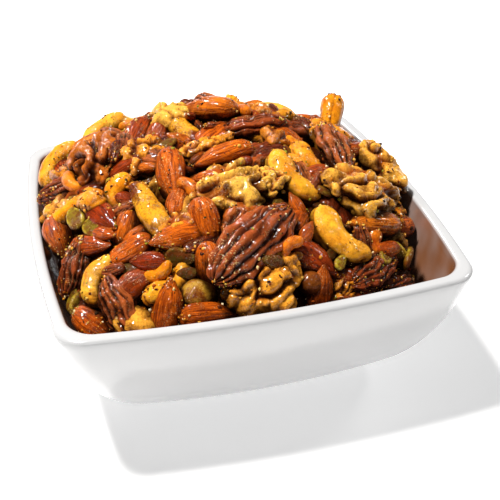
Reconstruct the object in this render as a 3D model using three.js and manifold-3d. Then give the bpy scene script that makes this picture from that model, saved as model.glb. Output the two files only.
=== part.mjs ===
// A soft-square glazed bowl heaped with coated mixed nuts: almonds, cashews, walnut and pecan
// halves, hazelnuts and pumpkin seeds. Millimetres, +Z up, +Y away from the viewer. The origin
// is the middle of the bowl's foot, on the surface that the bowl stands on.
import * as THREE from 'three';
import { mergeVertices } from 'three/addons/utils/BufferGeometryUtils.js';
import Module from 'manifold-3d';

const wasm = await Module();
wasm.setup();

// ---- Bowl -------------------------------------------------------------------------------
const RIM_SIDE = 150;        // outside, from the middle of one side to the middle of the other
const BOWL_HEIGHT = 54;
const SIDE_BOW = 4.6;        // how far each side swells out past the line between its corners
const CORNER_RADIUS = 8;     // in plan
const MOST_BOW = 0.1;        // nearer the middle a ring keeps its shape: its bow is at most this
const MOST_CORNER = 0.3;     // share of its half width, and its corner radius at most this
const WALL = 4.6;            // thickness of the wall and the width of the rim
const FLOOR_TOP = 6;         // level of the floor inside
const FOOT_INSET = 30;       // from the rim's outline in to the foot, by the wall's round turn
const FLARE = 10;            // and by the wall's lean
const TURN_POWER = 2.4;      // fullness of the turn from foot to wall
const RIM_EDGE = 1.5;        // radius that eases both edges of the rim
const FOOT_EASE = 1;         // small chamfer round the foot

// ---- Heap -------------------------------------------------------------------------------
const CROWN = { x: -2, y: 25, rise: 20 };    // where the heap is highest, and how far over the rim
const HEAP_REACH = 72;                       // half the width that the heap would fill
const HEAP_EDGE = -8;                        // its level at the walls, against the rim
const EDGE_FALL_X = -4;                      // lower to the right
const EDGE_RISE_Y = 3;                       // higher at the back
const PLAN_POWER = 2.4;                      // squareness of the heap in plan
const DOME_POWER = 2.6;                      // fullness of the heap's top
const DOME_LIMIT = 1.06;                     // it falls no further than at this share of the reach
const CORE_DEPTH = 2;                        // the bare core lies this far under the nuts' middles
const CORE_INSET = 3.3;                      // and stands this far clear of the wall
const GAP = 1;                               // clearance between the core and the floor

// ---- Nuts of ordinary size: millimetres, and shares of the thickness for the reliefs --------
const ALMOND = { length: 23, width: 11.6, thick: 8.6, taper: 0.26, tip: 0.1 };
const CASHEW = { bend: 9.6, turn: 1.3, width: 9.4, thick: 8.8, fullEnds: 1.4, lean: 0.12 };
const SPLIT = { length: 27, width: 8, thick: 6, fullEnds: 0.7, lean: 0.15 };
const PECAN = { length: 31, width: 14.4, thick: 10, ridges: 5, ridge: 0.11, taper: 0.12 };
const WALNUT = { length: 26, width: 22, thick: 13, lobe: 0.15, smallLobe: 0.07, fold: 0.22 };
const HAZEL = { length: 14.5, width: 13.5, tip: 0.1 };
const SEED = { length: 11.5, width: 6.8, thick: 2.6, taper: 0.25 };
const NUT_CLEARANCE = 1;     // kept between a nut's outermost points and the wall
const MOVE_ROUNDS = 10;      // a nut is moved in off the wall in at most this many steps

// The points of a round body at which a nut is felt for the wall: its faces, edges and corners.
const FEELER_GRID = [-2, -1, 0, 1, 2];
const FEELERS = FEELER_GRID.flatMap((x) => FEELER_GRID.flatMap((y) => FEELER_GRID.map((z) => (
  new THREE.Vector3(x, y, z))))).filter((p) => p.length() > 0).map((p) => p.normalize());

// The nuts that show from the front, one a row: kind, x and y in the plan, heading, tilt and
// roll in degrees, size against an ordinary one, and lift over the heap's level.
const SHOWN_NUTS = [
  ['cashew', -60, 37, 15, 10, 25, 1, 2],
  ['cashew', -40, 50, 350, 12, 25, 0.95, 3.5],
  ['cashew', -28, 50, 300, -6, -15, 0.85, -2.5],
  ['walnut', -45, 17, 65, 12, 15, 1, 3],
  ['almond', -58, 31, 280, -10, 20, 0.95, -2],
  ['almond', -27, 34, 60, 10, 30, 0.95, 1],
  ['almond', -32, 23, 25, -6, -30, 0.85, -1],
  ['almond', -37, 7, 180, -12, 25, 0.9, 1],
  ['walnut', -28, 8, 70, 6, 25, 0.8, 2],
  ['split', -12, 24, 290, -6, 25, 1.05, 2],
  ['almond', -21, 29, 60, 20, -20, 0.9, 0],
  ['almond', 0, 32, 130, -12, 20, 1.25, 5.5],
  ['almond', -23, -11, 262, -10, 55, 1.15, 4],
  ['cashew', -42, -9, 60, 20, 20, 0.85, 2],
  ['split', -33, -26, 278, -5, 0, 1.12, 5],
  ['almond', -22, -22, 65, 10, 40, 0.9, 1],
  ['almond', -41, -24, 50, 20, 35, 0.9, 1],
  ['cashew', 15, 46, 110, 50, 60, 0.7, 1.5],
  ['pecan', 13, 17, 352, 12, -25, 0.95, 3],
  ['cashew', 31, 44, 350, -6, 25, 0.85, 1.5],
  ['cashew', 38, 33, 350, -12, -25, 0.95, 0],
  ['almond', 27, 9, 325, -12, 30, 0.85, 1],
  ['almond', -3, -8, 196, 0, 50, 1.1, 6],
  ['walnut', -8, 4, 35, -6, -25, 0.75, 2],
  ['cashew', 17, 8, 295, -12, -15, 0.75, 0],
  ['walnut', -3, -25, 18, 0, 0, 1.1, 5],
  ['cashew', 19, -21, 122, 12, 0, 1.1, 4],
  ['cashew', 30, -8, 125, 12, 15, 0.95, 2],
  ['cashew', 54, 38, 120, 65, 30, 1.05, 7],
  ['pecan', 44, 3, 275, -6, -20, 1.05, 5],
  ['almond', 60, 34, 320, -6, 0, 0.9, 2],
  ['walnut', 65, 2, 290, 20, -40, 1.1, 8],
  ['walnut', 44, -22, 8, 0, -15, 1.25, 5],
  ['cashew', 29, -45, 127, 0, 0, 1.15, 3.5],
  ['almond', 45, -35, 190, 0, 50, 1.15, 4],
  ['walnut', 62, -14, 300, 6, -20, 0.8, 2],
  ['pecan', -59, 15, 350, -12, 25, 0.75, 1],
  ['cashew', -55, -5, 335, 12, -25, 1.1, 3],
  ['almond', -49, -16, 292, 6, 25, 1, 3],
  ['almond', -65, -8, 262, -20, -30, 0.85, 1],
  ['almond', -54, -24, 322, 12, -20, 0.9, 2],
  ['almond', -44, -36, 182, -12, 30, 0.95, 3],
  ['pecan', -61, -28, 45, 10, 15, 0.75, 2],
  ['cashew', -54, -40, 45, -6, 15, 0.85, 4],
  ['pecan', -49, -52, 268, -12, 15, 0.8, 3],
  ['almond', -40, -47, 22, -12, 20, 0.9, 2],
  ['almond', -26, -39, 192, 20, -30, 0.95, 4],
  ['almond', -16, -37, 272, -25, 30, 0.95, 3],
  ['cashew', -31, -51, 218, 12, -25, 0.95, 1],
  ['almond', -18, -52, 266, -30, 40, 0.9, 2],
  ['pecan', -3, -50, 41, 0, 0, 1.28, 8],
  ['almond', 17, -37, 56, -20, 30, 0.9, 1],
  ['almond', 16, -52, 317, 0, 10, 1.02, 3],
  ['walnut', -2, -60, 42, 0, 0, 1.08, 5],
  ['pecan', 39, -52, 32, 0, -15, 0.85, 2],
  ['almond', 52.5, -39, 120, 20, 0, 0.8, -2],
  ['almond', 64, -30, 330, 12, 0, 0.8, -1],
  ['almond', 59, -26, 200, -12, 0, 0.85, 2],
  ['pecan', 48, -51, 15, 0, 0, 0.75, -1],
  ['almond', 17, -60, 88, 40, 20, 0.85, 0],
  ['almond', -57, -51, 295, -20, -20, 0.85, 0.5],
  ['almond', -34, -59, 62, 35, 0, 0.95, 3],
  ['hazel', -24, -57, 345, -6, 0, 0.85, 1],
  ['almond', -22, -64, 352, -6, 45, 0.85, 2],
  ['almond', -14, -56, 120, 30, 0, 0.7, -1],
  ['almond', -47, 7, 350, -12, 0, 0.85, -2],
  ['almond', 41, -44, 20, 12, 0, 0.9, -2],
  ['seed', -58, -11, 100, 0, 0, 1.05, 6],
  ['seed', -53, -20, 280, 0, 0, 0.95, 5],
  ['seed', -32, -9, 290, 0, 30, 1.1, -0.5],
  ['seed', -24, 9, 10, 0, 0, 0.8, 4],
  ['seed', -27, -46, 335, 0, 30, 1, 4],
  ['seed', 45, -49, 75, 0, 0, 0.75, 7],
  ['seed', 52, -44, 320, 0, 40, 1.05, 4.5],
  ['seed', 44, -27, 70, 0, 0, 0.65, 9],
];

// The nuts between and behind them: drawn over a square of this half width, kept this share of
// their footprints apart, and left out where the wall would move them too far.
const FILL = {
  seed: 4127,
  tries: 1500,
  half: 68,
  spacing: 0.62,
  mostMove: 9,
  size: [0.85, 1.1],
  tilt: [-15, 15],
  roll: [-25, 25],
  lift: [-1, 2],
  kinds: ['almond', 'cashew', 'walnut', 'almond', 'pecan', 'cashew', 'almond', 'walnut'],
};

// ---- How finely each thing is faceted -----------------------------------------------------
const SIDE_STEPS = 8;        // along each side of the bowl
const CORNER_STEPS = 4;      // round each of its corners
const AROUND = 4 * (SIDE_STEPS + CORNER_STEPS);
const WALL_ROWS = 7;         // up the bowl's wall, outside and inside
const RIM_ROWS = 2;          // over each edge of the rim
const ROW_CROWDING = 1.6;    // the wall's rows crowd towards the foot by this power
const CORE_WALL_ROWS = 4;
const CORE_TOP_ROWS = 10;
const CORE_STRIDE = 2;       // the core uses every second step of the bowl's plan

const RAD = Math.PI / 180;

// ---- The bowl's shape ---------------------------------------------------------------------

const WALL_TOP = BOWL_HEIGHT - RIM_EDGE;

// How far the outside of the wall stands in from the rim's outline at a level above the foot.
function wallInset(level) {
  const drop = 1 - Math.min(Math.max(level / WALL_TOP, 0), 1);
  const sine = Math.pow(drop, TURN_POWER / 2);
  const cosine = Math.sqrt(1 - sine * sine);
  return FOOT_INSET * (1 - Math.pow(cosine, 2 / TURN_POWER)) + FLARE * drop;
}

function outerHalf(level) {
  return RIM_SIDE / 2 - wallInset(level);
}

// The inside follows the same curve, squeezed between the floor and the rim.
function innerHalf(level) {
  const share = (level - FLOOR_TOP) / (WALL_TOP - FLOOR_TOP);
  return RIM_SIDE / 2 - WALL - wallInset(share * WALL_TOP);
}

// A point on the soft square whose sides lie `half` from the middle: step 0 is the left end of
// the front side, and the steps run anticlockwise seen from above.
function planPoint(step, half) {
  const quarter = SIDE_STEPS + CORNER_STEPS;
  const side = Math.floor(step / quarter) % 4;
  const along = step % quarter;
  const bow = Math.min(SIDE_BOW, half * MOST_BOW);
  const radius = Math.min(CORNER_RADIUS, half * MOST_CORNER);
  const flat = half - bow;
  const straight = flat - radius;
  let u = straight * (2 * along / SIDE_STEPS - 1);
  let v = flat;
  if (along > SIDE_STEPS) {
    const angle = 90 * RAD * (along - SIDE_STEPS) / CORNER_STEPS;
    u = straight + radius * Math.sin(angle);
    v = straight + radius * Math.cos(angle);
  }
  const swollenU = half > 0 ? u * (1 + bow * (1 - (v / flat) ** 2) / flat) : 0;
  const swollenV = half > 0 ? v * (1 + bow * (1 - (u / flat) ** 2) / flat) : 0;
  return new THREE.Vector2(swollenU, -swollenV).rotateAround(new THREE.Vector2(), side * 90 * RAD);
}

// A body of soft-square rings: a turned body whose rings are pushed out to the plan. `place`
// gives the corner of a ring at a step, and only every stride-th step is used.
function ringBody(rings, stride, place) {
  const profile = rings.map((ring, j) => new THREE.Vector2(ring.half, j));
  const around = AROUND / stride;
  const geometry = new THREE.LatheGeometry(profile, around);
  const position = geometry.attributes.position;
  for (let i = 0; i <= around; i += 1) {
    rings.forEach((ring, j) => {
      const corner = place(ring, i % around * stride);
      position.setXYZ(i * rings.length + j, corner.x, corner.y, corner.z);
    });
  }
  return geometry;
}

function bowlRings() {
  const rings = [{ half: 0, level: 0 }, { half: outerHalf(0) - FOOT_EASE, level: 0 }];
  for (let row = 0; row <= WALL_ROWS; row += 1) {
    const level = FOOT_EASE + (WALL_TOP - FOOT_EASE) * (row / WALL_ROWS) ** ROW_CROWDING;
    rings.push({ half: outerHalf(level), level });
  }
  const outside = RIM_SIDE / 2 - RIM_EDGE;
  const inside = RIM_SIDE / 2 - WALL + RIM_EDGE;
  for (let row = 1; row <= RIM_ROWS; row += 1) {
    const angle = 90 * RAD * row / RIM_ROWS;
    const level = BOWL_HEIGHT - RIM_EDGE * (1 - Math.sin(angle));
    rings.push({ half: outside + RIM_EDGE * Math.cos(angle), level });
  }
  for (let row = 0; row < RIM_ROWS; row += 1) {
    const angle = 90 * RAD * row / RIM_ROWS;
    const level = BOWL_HEIGHT - RIM_EDGE * (1 - Math.cos(angle));
    rings.push({ half: inside - RIM_EDGE * Math.sin(angle), level });
  }
  for (let row = WALL_ROWS; row >= 0; row -= 1) {
    const level = FLOOR_TOP + (WALL_TOP - FLOOR_TOP) * (row / WALL_ROWS) ** ROW_CROWDING;
    rings.push({ half: innerHalf(level), level });
  }
  rings.push({ half: 0, level: FLOOR_TOP });
  return rings;
}

function bowlGeometry() {
  return ringBody(bowlRings(), 1, (ring, step) => {
    const plan = planPoint(step, ring.half);
    return new THREE.Vector3(plan.x, plan.y, ring.level);
  });
}

// ---- The heap's shape ---------------------------------------------------------------------

// The level at which the nuts' middles lie over a place in the plan.
function heapLevel(x, y) {
  const spanX = HEAP_REACH - Math.sign(x - CROWN.x) * CROWN.x;
  const spanY = HEAP_REACH - Math.sign(y - CROWN.y) * CROWN.y;
  const offX = Math.abs(x - CROWN.x) / spanX;
  const offY = Math.abs(y - CROWN.y) / spanY;
  const out = Math.pow(offX ** PLAN_POWER + offY ** PLAN_POWER, 1 / PLAN_POWER);
  const edge = HEAP_EDGE + (EDGE_FALL_X * x + EDGE_RISE_Y * y) / HEAP_REACH;
  const dome = 1 - Math.min(out, DOME_LIMIT) ** DOME_POWER;
  return BOWL_HEIGHT + edge + (CROWN.rise - edge) * dome;
}

function heapNormal(x, y) {
  const slopeX = (heapLevel(x + 1, y) - heapLevel(x - 1, y)) / 2;
  const slopeY = (heapLevel(x, y + 1) - heapLevel(x, y - 1)) / 2;
  return new THREE.Vector3(-slopeX, -slopeY, 1).normalize();
}

function coreRings() {
  const rings = [{ half: 0, wall: 0, top: 1 }];
  for (let row = 0; row <= CORE_WALL_ROWS; row += 1) {
    rings.push({ half: 1, wall: row / CORE_WALL_ROWS, top: 1 });
  }
  for (let row = 1; row <= CORE_TOP_ROWS; row += 1) {
    const top = 1 - row / CORE_TOP_ROWS;
    rings.push({ half: top, wall: 1, top });
  }
  return rings;
}

// The core fills the bowl up to just under the nuts, and stands clear of the wall.
function coreGeometry() {
  const bottom = FLOOR_TOP + GAP;
  return ringBody(coreRings(), CORE_STRIDE, (ring, step) => {
    const brink = planPoint(step, RIM_SIDE / 2 - WALL);
    const edge = heapLevel(brink.x, brink.y) - CORE_DEPTH;
    const level = bottom + (Math.min(edge, BOWL_HEIGHT) - bottom) * ring.wall;
    const half = (innerHalf(level) - CORE_INSET) * ring.top * (ring.half > 0 ? 1 : 0);
    const plan = planPoint(step, half);
    const onTop = ring.top < 1;
    const height = onTop ? Math.max(heapLevel(plan.x, plan.y) - CORE_DEPTH, bottom) : level;
    return new THREE.Vector3(plan.x, plan.y, height);
  });
}

// ---- The nuts: each is a round body that its form reshapes, its long axis along x, its tip at
// +x, and the side that shows at +z ---------------------------------------------------------

function almondForm(p) {
  const taper = 1 - ALMOND.taper * p.x - ALMOND.tip * p.x ** 3;
  return new THREE.Vector3(
    ALMOND.length / 2 * p.x,
    ALMOND.width / 2 * p.y * taper,
    ALMOND.thick / 2 * p.z * taper,
  );
}

// A crescent: its outer curve lies at +y.
function cashewForm(p) {
  const angle = CASHEW.turn * p.x;
  const full = Math.sqrt(1 + CASHEW.fullEnds * p.x * p.x) * (1 + CASHEW.lean * p.x);
  const radius = CASHEW.bend + CASHEW.width / 2 * p.y * full;
  return new THREE.Vector3(
    radius * Math.sin(angle),
    radius * Math.cos(angle) - CASHEW.bend * Math.cos(CASHEW.turn / 2),
    CASHEW.thick / 2 * p.z * full,
  );
}

function splitForm(p) {
  const full = Math.sqrt(1 + SPLIT.fullEnds * p.x * p.x) * (1 + SPLIT.lean * p.x);
  return new THREE.Vector3(
    SPLIT.length / 2 * p.x,
    SPLIT.width / 2 * p.y * full,
    SPLIT.thick / 2 * p.z * full,
  );
}

// Lengthwise ridges, one along the top.
function pecanForm(p) {
  const round = Math.atan2(p.z, p.y);
  const ridge = 1 + PECAN.ridge * Math.cos(PECAN.ridges * (round - 90 * RAD));
  return new THREE.Vector3(
    PECAN.length / 2 * p.x,
    PECAN.width / 2 * p.y * ridge * (1 - PECAN.taper * p.x),
    PECAN.thick / 2 * p.z * ridge,
  );
}

// Lobes round the outline and folds over the top.
function walnutForm(p) {
  const round = Math.atan2(p.y, p.x);
  const large = WALNUT.lobe * Math.cos(4 * round + 0.6);
  const lobe = 1 + large + WALNUT.smallLobe * Math.cos(7 * round);
  const fold = 1 + WALNUT.fold * Math.cos(5.5 * p.x + 1) * Math.cos(5 * p.y);
  return new THREE.Vector3(
    WALNUT.length / 2 * p.x * lobe,
    WALNUT.width / 2 * p.y * lobe,
    WALNUT.thick / 2 * p.z * fold,
  );
}

function hazelForm(p) {
  const point = 1 + HAZEL.tip * Math.max(p.x, 0) ** 3;
  return new THREE.Vector3(
    HAZEL.length / 2 * p.x * point,
    HAZEL.width / 2 * p.y,
    HAZEL.width / 2 * p.z,
  );
}

function seedForm(p) {
  return new THREE.Vector3(
    SEED.length / 2 * p.x,
    SEED.width / 2 * p.y * (1 - SEED.taper * p.x),
    SEED.thick / 2 * p.z,
  );
}

// The form of each kind, the sides and rows of its facets, and its footprint for spacing.
const KINDS = {
  almond: { form: almondForm, sides: 6, rows: 4, foot: 8 },
  cashew: { form: cashewForm, sides: 6, rows: 6, foot: 9 },
  split: { form: splitForm, sides: 6, rows: 4, foot: 8 },
  pecan: { form: pecanForm, sides: 10, rows: 4, foot: 9.5 },
  walnut: { form: walnutForm, sides: 7, rows: 5, foot: 10 },
  hazel: { form: hazelForm, sides: 6, rows: 4, foot: 6.5 },
  seed: { form: seedForm, sides: 6, rows: 3, foot: 3 },
};

// The turn and size of a nut that lies on the heap's slope: its heading is the compass of its
// long axis in plan, `tilt` lifts its tip, and `roll` turns it about its long axis.
function nutBasis(nut) {
  const up = heapNormal(nut.x, nut.y);
  const heading = new THREE.Vector3(Math.cos(nut.heading * RAD), Math.sin(nut.heading * RAD), 0);
  const along = heading.projectOnPlane(up).normalize();
  const across = up.clone().cross(along);
  return new THREE.Matrix4().makeBasis(along, across, up)
    .multiply(new THREE.Matrix4().makeRotationY(-nut.tilt * RAD))
    .multiply(new THREE.Matrix4().makeRotationX(nut.roll * RAD))
    .scale(new THREE.Vector3(nut.size, nut.size, nut.size));
}

// How far a point stands out of the room inside the bowl, as the move that brings it back. Over
// the rim the room widens, but never past the rim's outer outline.
function moveInside(point) {
  const over = Math.min(Math.max(point.z - BOWL_HEIGHT, 0), WALL);
  const half = innerHalf(Math.min(point.z, BOWL_HEIGHT)) - NUT_CLEARANCE + over;
  const flat = half - SIDE_BOW;
  const move = new THREE.Vector2();
  const sideX = flat + SIDE_BOW * (1 - (point.y / flat) ** 2);
  const sideY = flat + SIDE_BOW * (1 - (point.x / flat) ** 2);
  move.x = -Math.sign(point.x) * Math.max(Math.abs(point.x) - sideX, 0);
  move.y = -Math.sign(point.y) * Math.max(Math.abs(point.y) - sideY, 0);
  const cornerX = Math.abs(point.x) - (flat - CORNER_RADIUS);
  const cornerY = Math.abs(point.y) - (flat - CORNER_RADIUS);
  if (cornerX > 0 && cornerY > 0) {
    const excess = Math.max(Math.hypot(cornerX, cornerY) - CORNER_RADIUS, 0);
    const share = excess / Math.hypot(cornerX, cornerY);
    move.x = Math.abs(move.x) > cornerX * share ? move.x : -Math.sign(point.x) * cornerX * share;
    move.y = Math.abs(move.y) > cornerY * share ? move.y : -Math.sign(point.y) * cornerY * share;
  }
  return move;
}

// The middle of a nut, moved inward until all its outermost points are inside the bowl.
function nutMiddle(nut, basis) {
  const middle = new THREE.Vector3(nut.x, nut.y, heapLevel(nut.x, nut.y) + nut.lift);
  const feelers = FEELERS.map((p) => KINDS[nut.kind].form(p).applyMatrix4(basis));
  for (let round = 0; round < MOVE_ROUNDS; round += 1) {
    const move = new THREE.Vector2();
    feelers.forEach((feeler) => {
      const step = moveInside(feeler.clone().add(middle));
      move.x = Math.abs(step.x) > Math.abs(move.x) ? step.x : move.x;
      move.y = Math.abs(step.y) > Math.abs(move.y) ? step.y : move.y;
    });
    middle.x += move.x;
    middle.y += move.y;
  }
  return middle;
}

function nutGeometry(nut) {
  const { form, sides, rows } = KINDS[nut.kind];
  const geometry = new THREE.SphereGeometry(1, sides, rows).rotateZ(-90 * RAD);
  const position = geometry.attributes.position;
  for (let i = 0; i < position.count; i += 1) {
    const p = form(new THREE.Vector3().fromBufferAttribute(position, i));
    position.setXYZ(i, p.x, p.y, p.z);
  }
  const basis = nutBasis(nut);
  const middle = nutMiddle(nut, basis);
  return geometry.applyMatrix4(basis).translate(middle.x, middle.y, middle.z);
}

// ---- The other nuts, by rule: drawn at random, kept where no other nut lies too near -------

function randomDraws(seed) {
  let state = seed;
  return () => {
    state = (state * 16807) % 2147483647;
    return state / 2147483647;
  };
}

function fillHeap(nuts) {
  const draw = randomDraws(FILL.seed);
  const between = ([low, high]) => low + (high - low) * draw();
  for (let tries = 0; tries < FILL.tries; tries += 1) {
    const x = between([-FILL.half, FILL.half]);
    const y = between([-FILL.half, FILL.half]);
    const kind = FILL.kinds[Math.floor(draw() * FILL.kinds.length)];
    const heading = between([0, 360]);
    const size = between(FILL.size);
    const tilt = between(FILL.tilt);
    const roll = between(FILL.roll);
    const lift = between(FILL.lift);
    const free = nuts.every((other) => {
      const reach = KINDS[other.kind].foot + KINDS[kind].foot;
      return Math.hypot(other.x - x, other.y - y) > FILL.spacing * reach;
    });
    const nut = { kind, x, y, heading, tilt, roll, size, lift };
    const middle = nutMiddle(nut, nutBasis(nut));
    if (free && Math.hypot(middle.x - x, middle.y - y) < FILL.mostMove) {
      nuts.push(nut);
    }
  }
  return nuts;
}

// ---- Solids -------------------------------------------------------------------------------

function toSolid(geometry) {
  geometry.deleteAttribute('normal');
  geometry.deleteAttribute('uv');
  const merged = mergeVertices(geometry, 1e-4);
  return new wasm.Manifold(new wasm.Mesh({
    numProp: 3,
    vertProperties: new Float32Array(merged.attributes.position.array),
    triVerts: new Uint32Array(merged.index.array),
  }));
}

function toGeometry(solid) {
  const mesh = solid.getMesh();
  const geometry = new THREE.BufferGeometry();
  geometry.setAttribute('position', new THREE.BufferAttribute(mesh.vertProperties, 3));
  geometry.setIndex(new THREE.BufferAttribute(mesh.triVerts, 1));
  geometry.computeVertexNormals();
  return geometry;
}

// The nuts fused to the core. Only the largest body stays, which drops scraps and fills any
// hollow that the nuts would close.
function heapGeometry() {
  const nuts = fillHeap(SHOWN_NUTS.map(([kind, x, y, heading, tilt, roll, size, lift]) => (
    { kind, x, y, heading, tilt, roll, size, lift })));
  const heap = nuts.reduce(
    (sum, nut) => sum.add(toSolid(nutGeometry(nut))),
    toSolid(coreGeometry()),
  );
  const bodies = heap.decompose().sort((a, b) => b.volume() - a.volume());
  return toGeometry(bodies[0]);
}

// ---- The part -----------------------------------------------------------------------------

const glaze = new THREE.MeshStandardMaterial({ color: 0xe6ebe8, roughness: 0.12, metalness: 0 });
const coating = new THREE.MeshStandardMaterial({ color: 0xb5651d, roughness: 0.3, metalness: 0 });

const bowl = new THREE.Mesh(bowlGeometry(), glaze);
bowl.name = 'bowl';

const nuts = new THREE.Mesh(heapGeometry(), coating);
nuts.name = 'nuts';

const part = new THREE.Group();
part.add(bowl, nuts);

export default part;
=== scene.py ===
"""The looks of a soft-square white glazed bowl heaped with glossy coated nuts.

Lengths are in millimetres until a mesh is made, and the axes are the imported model's: +Z up,
+Y away from the viewer, with the origin in the middle of the bowl's foot.
"""
import functools
import itertools
import math
from types import SimpleNamespace as Numbers

import bpy
import numpy as np
from mathutils import Matrix, Vector


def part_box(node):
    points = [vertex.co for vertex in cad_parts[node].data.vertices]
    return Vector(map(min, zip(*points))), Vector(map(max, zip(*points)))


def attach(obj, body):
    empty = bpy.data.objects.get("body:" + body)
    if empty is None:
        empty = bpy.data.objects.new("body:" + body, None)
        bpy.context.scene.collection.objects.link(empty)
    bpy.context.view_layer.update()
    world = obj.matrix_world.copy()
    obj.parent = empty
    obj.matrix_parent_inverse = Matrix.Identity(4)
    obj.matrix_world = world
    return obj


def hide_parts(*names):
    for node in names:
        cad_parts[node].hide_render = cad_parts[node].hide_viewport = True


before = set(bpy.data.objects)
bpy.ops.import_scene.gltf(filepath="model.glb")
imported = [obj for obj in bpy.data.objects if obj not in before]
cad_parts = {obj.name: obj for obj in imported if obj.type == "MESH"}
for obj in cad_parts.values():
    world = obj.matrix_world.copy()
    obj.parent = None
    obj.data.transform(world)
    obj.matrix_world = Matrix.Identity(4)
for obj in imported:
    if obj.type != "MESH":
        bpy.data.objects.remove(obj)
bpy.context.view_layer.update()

MM = 0.001
BOWL_LOW, BOWL_HIGH = (np.array(corner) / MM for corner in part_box("bowl"))
HEAP_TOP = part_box("nuts")[1][2] / MM

# ---- The bowl, as in the solids ----
RIM_SIDE = round(BOWL_HIGH[0] - BOWL_LOW[0], 2)
BOWL_HEIGHT = round(BOWL_HIGH[2] - BOWL_LOW[2], 2)
SIDE_BOW = 4.6
CORNER_RADIUS = 8
MOST_BOW = 0.1
MOST_CORNER = 0.3
WALL = 4.6
FLOOR_TOP = 6
FOOT_INSET = 30
FLARE = 10
TURN_POWER = 2.4
RIM_EDGE = 1.5
FOOT_EASE = 1
ROW_CROWDING = 1.6
WALL_TOP = BOWL_HEIGHT - RIM_EDGE

# ---- The heap, as in the solids ----
CROWN_X, CROWN_Y, CROWN_RISE = -2, 25, 20
HEAP_REACH = 72
HEAP_EDGE = -8
EDGE_FALL_X = -4
EDGE_RISE_Y = 3
PLAN_POWER = 2.4
DOME_POWER = 2.6
DOME_LIMIT = 1.06

# ---- Nuts of ordinary size, as in the solids ----
ALMOND = Numbers(length=23, width=11.6, thick=8.6, taper=0.26, tip=0.1)
CASHEW = Numbers(bend=9.6, turn=1.3, width=9.4, thick=8.8, full_ends=1.4, lean=0.12)
SPLIT = Numbers(length=27, width=8, thick=6, full_ends=0.7, lean=0.15)
PECAN = Numbers(length=31, width=14.4, thick=10, taper=0.12)
WALNUT = Numbers(
    length=26, width=22, thick=13, lobes=4, lobe=0.15, lobe_turn=0.6, small_lobes=7,
    small_lobe=0.07, folds=(5.5, 5), fold=0.12, fold_turn=1,
)
HAZEL = Numbers(length=14.5, width=13.5, thick=13.5, tip=0.1)
SEED = Numbers(length=11.5, width=6.8, thick=2.6, taper=0.25)
NUT_CLEARANCE = 1
MOVE_ROUNDS = 10
FOOTPRINT = dict(almond=8, cashew=9, split=8, pecan=9.5, walnut=10, hazel=6.5, seed=3)

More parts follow.
